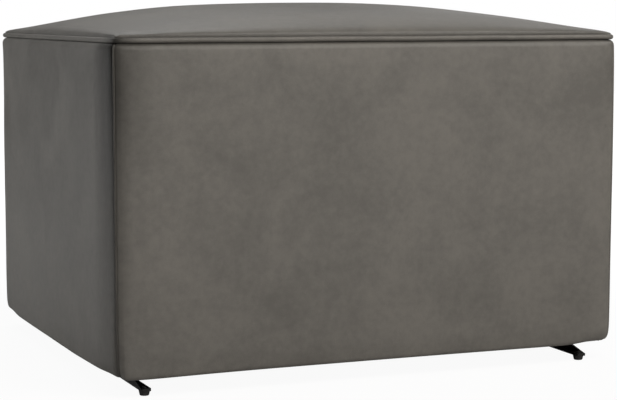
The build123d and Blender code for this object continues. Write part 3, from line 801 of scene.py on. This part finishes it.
def top_welt():
    """Corded seam that runs round the box under the seat."""
    bm = bmesh.new()
    straight_x, straight_y = half_width - corner_radius, half_depth - corner_radius
    start = Vector((-straight_x, -(half_depth - welt_inset), welt_z))
    bmesh.ops.create_circle(
        bm, segments=16, radius=welt_radius,
        matrix=Matrix.Translation(start) @ Matrix.Rotation(math.pi / 2, 4, "Y"),
    )
    rim = bm.edges[:]
    runs = [
        (X_AXIS, 2 * straight_x, (1, -1)),
        (Y_AXIS, 2 * straight_y, (1, 1)),
        (-X_AXIS, 2 * straight_x, (-1, 1)),
        (-Y_AXIS, 2 * straight_y, (-1, -1)),
    ]
    for direction, length, corner in runs:
        steps = round(length / (12 * MM))
        for _ in range(steps):
            made = bmesh.ops.extrude_edge_only(bm, edges=rim)["geom"]
            rim = [e for e in made if isinstance(e, bmesh.types.BMEdge)]
            moved = [v for v in made if isinstance(v, bmesh.types.BMVert)]
            rim = [e for e in rim if all(v in moved for v in e.verts)]
            bmesh.ops.translate(bm, vec=direction * (length / steps), verts=moved)
        pivot = Vector((corner[0] * straight_x, corner[1] * straight_y, welt_z))
        spun = bmesh.ops.spin(
            bm, geom=rim + list({v for e in rim for v in e.verts}), cent=pivot, axis=Z_AXIS,
            angle=math.pi / 2, steps=6, use_duplicate=False,
        )["geom_last"]
        rim = [e for e in spun if isinstance(e, bmesh.types.BMEdge)]
    bmesh.ops.remove_doubles(bm, verts=bm.verts[:], dist=0.2 * MM)
    bmesh.ops.recalc_face_normals(bm, faces=bm.faces[:])
    for vert in bm.verts:
        place = vert.co.copy()
        vert.co.z += 0.25 * MM * noise.noise(place * 14) - welt_drop
        out = plan_normal(place)
        if out is not None:
            drawn = welt_draw * math.exp(-((outline_run(place)[1] / (20 * MM)) ** 2))
            drawn *= 1.0 if place.x < 0 and place.y < 0 else -0.65
            vert.co += out * (0.3 * MM * noise.noise(place * 22 + Vector((7, 3, 1))) - drawn)
    return bm


# painted shade beside the front left corner
seam_leather = leather_finish("leather_corner_welts", (2.2, 6.1, 4.9), 40 * MM, 0.5)
welts = finish_piece("corner_welts_leather", corner_welts(), seam_leather)
soften(welts)
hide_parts("corner_welts")
piping = finish_piece("top_welt_leather", top_welt(), welt_leather)
soften(piping)
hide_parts("top_welt")


# ================================================================ seat
seat_swell = 0.8 * MM
pucker_depth = 2.6 * MM
pucker_ridge = 0.9 * MM
rim_z = seam_z + crown_edge


def crown_height(x, y, rise):
    """Height of the seat above the top of its upright edge."""
    u = min(abs(x) / (half_width - crown_inset), 1.0)
    v = min(abs(y) / (half_depth - crown_inset), 1.0)
    return rise * ((1 - u ** crown_power_x) * (1 - v ** crown_power_y)) ** crown_fullness


def pucker(place):
    """Fold of the leather at a corner of the seat, where it is drawn in between two seams."""
    a = half_width - crown_inset - abs(place.x)
    b = half_depth - crown_inset - abs(place.y)
    total = 0.0
    for near, far, share in ((b, a, 1.0), (a, b, 0.6)):
        share *= 1.0 if place.x < 0 and place.y < 0 else 0.2
        share *= math.exp(-((far / (26 * MM)) ** 2)) * (1 + 0.6 * noise.noise(place * 3))
        total -= pucker_depth * share * math.exp(-((near / (9 * MM)) ** 2))
        total += pucker_ridge * share * math.exp(-(((near - 16 * MM) / (6 * MM)) ** 2))
    return total * lift(min(a, b), 0, 1.5 * MM)


def full_corner(place):
    """The seat reaches further out and turns down lower at its corners, but not at the front left one."""
    if place.x < 0 and place.y < 0:
        return
    a = half_width - crown_inset - abs(place.x)
    b = half_depth - crown_inset - abs(place.y)
    share = math.exp(-(math.hypot(a, b) / (24 * MM)) ** 2)
    place.x += math.copysign(3.4 * MM * share, place.x)
    place.y += math.copysign(2.4 * MM * share, place.y)
    place.z -= 2.2 * MM * math.exp(-(math.hypot(a, b) / (11 * MM)) ** 2)


def seat_dome(rise):
    """The crowned face of the seat: a rounded sheet, cut fine and raised by the crown."""
    bm = bmesh.new()
    bmesh.ops.create_grid(bm, x_segments=1, y_segments=1, size=0.5)
    bmesh.ops.scale(
        bm, vec=(box_width - 2 * crown_inset, box_depth - 2 * crown_inset, 1), verts=bm.verts
    )
    bmesh.ops.bevel(
        bm, geom=bm.verts[:], offset=corner_radius - crown_inset, segments=5, profile=0.5,
        affect="VERTICES", material=-1,
    )
    close = [gap * MM for gap in (0.6, 1.5, 2.8, 4.4, 6.5, 9, 12)]
    for place in stations(half_width - crown_inset, 9 * MM, close):
        cut(bm, X_AXIS * place, X_AXIS)
    for place in stations(half_depth - crown_inset, 9 * MM, close):
        cut(bm, Y_AXIS * place, Y_AXIS)
    for vert in bm.verts:
        x, y, _ = vert.co
        inside = min(half_width - abs(x), half_depth - abs(y))
        vert.co.z = rim_z + crown_height(x, y, rise)
        vert.co.z += 0.5 * MM * noise.noise(Vector((x, y, 0)) * 7) * lift(inside, 10 * MM, 80 * MM)
        vert.co.z -= 0.8 * MM * lift(abs(x), 140 * MM, 210 * MM) * lift(inside, 8 * MM, 40 * MM)
    return bm


def seat_skin():
    """Top cover: the crowned face, its upright edge behind the welt, and the edge turned in."""
    bm = seat_dome(crown_top - rim_z)
    rim = [edge for edge in bm.edges if edge.is_boundary]
    rings = [(0, 0), (-0.5, -1.1), (-0.7, -2.3), (-0.5, -3.7), (0.0, -5.2)]
    rings += [(0.5, -6.9), (1.2, -8.3), (2.8, -8.8), (7.8, -8.8)]
    add_rings(bm, rim, [(crown_inset + inset * MM, rim_z + height * MM) for inset, height in rings])
    for vert in bm.verts:
        if vert.co.z > rim_z - 5 * MM:
            full_corner(vert.co)
    bmesh.ops.recalc_face_normals(bm, faces=bm.faces[:])
    return bm


def foam_block():
    """Seat foam: crowned like the cover, drawn in where both covers turn in, closed below."""
    bm = seat_dome(crown_top - rim_z)
    bm.normal_update()
    skin_depth = leather + padding_gap
    normals = [vert.normal.copy() for vert in bm.verts]
    for vert, normal in zip(bm.verts, normals):
        if vert.is_boundary:
            vert.co = drawn_in(vert.co, crown_inset, crown_inset + skin_depth)
            vert.co.z += 1.3 * pucker(vert.co)
        else:
            vert.co.z += pucker(vert.co)
            vert.co -= normal * skin_depth
    rim = [edge for edge in bm.edges if edge.is_boundary]
    edge = (crown_inset + skin_depth) / MM
    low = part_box("seat_foam")[0].z - seam_z
    rings = [(edge, crown_edge / MM), (edge, 5.0), (edge + 1.2, 2.2), (edge + 7, 2.1), (edge + 7, -1.8)]
    rings += [(6.4, -1.9), (3.7, -3.3), (2.4, -5.4)]
    rings = [(inset * MM, seam_z + height * MM) for inset, height in rings]
    rings += [(1.8 * MM, seam_z - 9 * MM), (1.8 * MM, seam_z + low + 2 * MM), (3.2 * MM, seam_z + low)]
    rim = add_rings(bm, rim, rings)
    bmesh.ops.contextual_create(bm, geom=rim)
    shape_walls(bm)
    bmesh.ops.recalc_face_normals(bm, faces=bm.faces[:])
    return bm


def sewn_to_welt(place):
    """Whether a point of the top cover lies on its upright edge or beside it."""
    inside = min(half_width - abs(place.x), half_depth - abs(place.y)) - crown_inset
    return inside < 3.5 * MM


seat = finish_piece("top_cover_leather", seat_skin(), seat_leather)
blow_out(seat, sewn_to_welt, cover_pressure, seat_swell)
for vert in seat.data.vertices:
    if vert.co.z > rim_z:
        vert.co.z += pucker(vert.co)
give_thickness(seat, leather)
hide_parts("top_cover")
foam = finish_piece("seat_foam_block", foam_block(), FINISH["foam"])
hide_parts("seat_foam")


# ================================================================ underside
dust_notch = 36 * MM
dust_sag = 3.2 * MM
staple_margin = 30 * MM  # from the end of a wall to its first staple
staple_pitch = 42 * MM
staple_inset = 14.5 * MM  # from the face of the wall
staple_half = 5 * MM
staple_lift = -0.1 * MM


def dust_sheet():
    """Thin cloth across the box, notched at the corner posts, hanging a little between the rails."""
    low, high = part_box("dust_cover")
    bm = bmesh.new()
    bmesh.ops.create_grid(bm, x_segments=56, y_segments=48, size=0.5)
    bmesh.ops.scale(bm, vec=(high.x - low.x, high.y - low.y, 1), verts=bm.verts)
    notch_x, notch_y = high.x - dust_notch, high.y - dust_notch
    for side in (-1, 1):
        cut(bm, X_AXIS * side * notch_x, X_AXIS)
        cut(bm, Y_AXIS * side * notch_y, Y_AXIS)
    middles = [(face, face.calc_center_median()) for face in bm.faces]
    corners = [face for face, middle in middles if abs(middle.x) > notch_x and abs(middle.y) > notch_y]
    bmesh.ops.delete(bm, geom=corners, context="FACES")
    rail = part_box("mount_rail_front")
    rail_y = (rail[0].y + rail[1].y) / -2
    for vert in bm.verts:
        x, y, _ = vert.co
        edge = min(high.x - abs(x), high.y - abs(y))
        loose = lift(edge, 0, 50 * MM) * lift(abs(abs(y) - rail_y), 32 * MM, 60 * MM)
        ripple = 0.5 + 0.5 * noise.noise(Vector((x * 5, y * 11, 0)))
        sag = dust_sag * loose * ripple
        sag += 0.25 * MM * loose * noise.noise(Vector((x * 40, y * 40, 3)))
        vert.co.z = high.z - sag
    return bm


def staples(places, half, lift_off):
    """Wire staples: a bar pressed on the leather; places are (x, y, z, turn)."""
    bm = bmesh.new()
    for x, y, z, turn in places:
        made = bmesh.ops.create_cube(
            bm, size=1.0,
            matrix=Matrix.Translation((x, y, z + lift_off))
            @ Matrix.Rotation(turn, 4, "Z")
            @ Matrix.Diagonal((2 * half, 1.1 * MM, 0.6 * MM, 1)),
        )
        edges = list({edge for vert in made["verts"] for edge in vert.link_edges})
        bmesh.ops.bevel(
            bm, geom=edges, offset=0.15 * MM, segments=1, profile=0.5, affect="EDGES", material=-1
        )
    return bm


def hem_staples():
    """Where the hem is stapled up into the boards, all round."""
    chance = random.Random(7)
    places = []
    for along_x, run, off in ((True, half_width, half_depth), (False, half_depth, half_width)):
        span = 2 * run - 2 * staple_margin
        count = round(span / staple_pitch)
        for side in (-1, 1):
            for step in range(count + 1):
                along = -run + staple_margin + step * span / count + chance.uniform(-2, 2) * MM
                across = side * (off - staple_inset + chance.uniform(-0.8, 0.8) * MM)
                turn = chance.uniform(-0.12, 0.12) + (0 if along_x else math.pi / 2)
                edge = (along, side * off, 0) if along_x else (side * off, along, 0)
                z = skirt_z - 0.36 * hem_hang(Vector(edge))
                places.append((along, across, z, turn) if along_x else (across, along, z, turn))
    return places


dust = finish_piece("dust_cover_cloth", dust_sheet(), FINISH["dust_cloth"])
give_thickness(dust, 0.8 * MM, 0)
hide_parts("dust_cover")
hem_wire = finish_piece(
    "hem_staples", staples(hem_staples(), staple_half, staple_lift), FINISH["zinc_steel"]
)
hem_wire.data.shade_flat()


# ================================================================ stage, light and camera
floor_grey = 0.46
floor_glow = 1.07
near_glow = 0.88  # share that the camera sees up to 0.5 m from the middle; all of it from 1.6 m on


def stage_floor():
    """Pale floor that shows white to the camera and keeps the shadow."""
    bm = bmesh.new()
    bmesh.ops.create_circle(bm, cap_ends=True, segments=96, radius=7.0)
    mesh = bpy.data.meshes.new("studio_floor")
    bm.to_mesh(mesh)
    bm.free()
    floor = bpy.data.objects.new("studio_floor", mesh)
    scene.collection.objects.link(floor)
    material = bpy.data.materials.new("studio_floor")
    material.use_nodes = True
    tree = material.node_tree
    tree.nodes.clear()
    output = tree.nodes.new("ShaderNodeOutputMaterial")
    diffuse = tree.nodes.new("ShaderNodeBsdfDiffuse")
    diffuse.inputs["Color"].default_value = (floor_grey, floor_grey, floor_grey, 1)
    glow = tree.nodes.new("ShaderNodeEmission")
    glow.inputs["Strength"].default_value = floor_glow
    seen = tree.nodes.new("ShaderNodeMixShader")
    path = tree.nodes.new("ShaderNodeLightPath")
    coords = tree.nodes.new("ShaderNodeTexCoord")
    away = tree.nodes.new("ShaderNodeVectorMath")
    away.operation = "LENGTH"
    tree.links.new(coords.outputs["Object"], away.inputs[0])
    whole = tree.nodes.new("ShaderNodeMapRange")
    for name, number in (("From Min", 0.5), ("From Max", 1.6), ("To Min", near_glow), ("To Max", 1.0)):
        whole.inputs[name].default_value = number
    tree.links.new(away.outputs["Value"], whole.inputs["Value"])
    share = tree.nodes.new("ShaderNodeMath")
    share.operation = "MULTIPLY"
    tree.links.new(whole.outputs["Result"], share.inputs[1])
    tree.links.new(path.outputs["Is Camera Ray"], share.inputs[0])
    tree.links.new(share.outputs[0], seen.inputs["Fac"])
    tree.links.new(diffuse.outputs[0], seen.inputs[1])
    tree.links.new(glow.outputs[0], seen.inputs[2])
    tree.links.new(seen.outputs[0], output.inputs["Surface"])
    mesh.materials.append(material)


def white_world():
    """White behind the object, a low even light on it."""
    world = bpy.data.worlds.new("studio")
    scene.world = world
    world.use_nodes = True
    tree = world.node_tree
    background = tree.nodes["Background"]
    path = tree.nodes.new("ShaderNodeLightPath")
    level = tree.nodes.new("ShaderNodeMapRange")
    level.inputs["To Min"].default_value = 0.03
    level.inputs["To Max"].default_value = 1.0
    tree.links.new(path.outputs["Is Camera Ray"], level.inputs["Value"])
    tree.links.new(level.outputs["Result"], background.inputs["Strength"])
    background.inputs["Color"].default_value = (1, 1, 1, 1)


def soft_lamp(name, place, size, power, colour=(1, 1, 1), aim=(0, 0, 0.22)):
    """Rectangular soft light turned to the object."""
    light = bpy.data.lights.new(name, "AREA")
    light.color = colour
    light.shape = "RECTANGLE"
    light.size, light.size_y = size
    light.energy = power
    lamp = bpy.data.objects.new(name, light)
    lamp.location = place
    lamp.rotation_euler = (Vector(aim) - Vector(place)).to_track_quat("-Z", "Y").to_euler()
    scene.collection.objects.link(lamp)


def photo_camera():
    """Camera where the photograph was taken from."""
    pitch, yaw, roll = (math.radians(angle) for angle in (-5.88, 21.841, -0.108))
    ahead = Vector((math.sin(yaw) * math.cos(pitch), math.cos(yaw) * math.cos(pitch), math.sin(pitch)))
    right = Vector((math.cos(yaw), -math.sin(yaw), 0))
    up = right.cross(ahead)
    turned_right = right * math.cos(roll) + up * math.sin(roll)
    turned_up = up * math.cos(roll) - right * math.sin(roll)
    data = bpy.data.cameras.new("photo_camera")
    data.sensor_width = 36
    data.lens = 107.06
    camera = bpy.data.objects.new("photo_camera", data)
    turn = Matrix((turned_right, turned_up, -ahead)).transposed().to_4x4()
    camera.matrix_world = Matrix.Translation((-0.8254, -2.1144, 0.4108)) @ turn
    scene.collection.objects.link(camera)
    scene.camera = camera


stage_floor()
white_world()
warm = (1.0, 0.955, 0.9)
soft_lamp("front_right_light", (2.2, -3.0, 1.4), (2.2, 2.0), 22, warm)
soft_lamp("low_front_light", (0.4, -3.4, 0.35), (2.6, 0.7), 18.5, warm)
soft_lamp("top_right_light", (1.8, -1.6, 2.6), (1.8, 1.6), 42.5, (1.0, 0.975, 0.93))
soft_lamp("top_front_light", (0.1, -1.5, 1.9), (1.4, 0.9), 15.5, warm)
soft_lamp("top_back_light", (0.0, 2.0, 2.6), (2.2, 1.6), 28)
soft_lamp("upper_left_light", (-1.5, 1.1, 1.5), (1.1, 1.1), 5.5)
soft_lamp("low_left_light", (-2.0, 0.9, 0.35), (1.1, 1.1), 17.5)
soft_lamp("back_right_light", (2.4, 2.6, 1.6), (2.0, 2.0), 11)
photo_camera()
scene.view_settings.view_transform = "Standard"
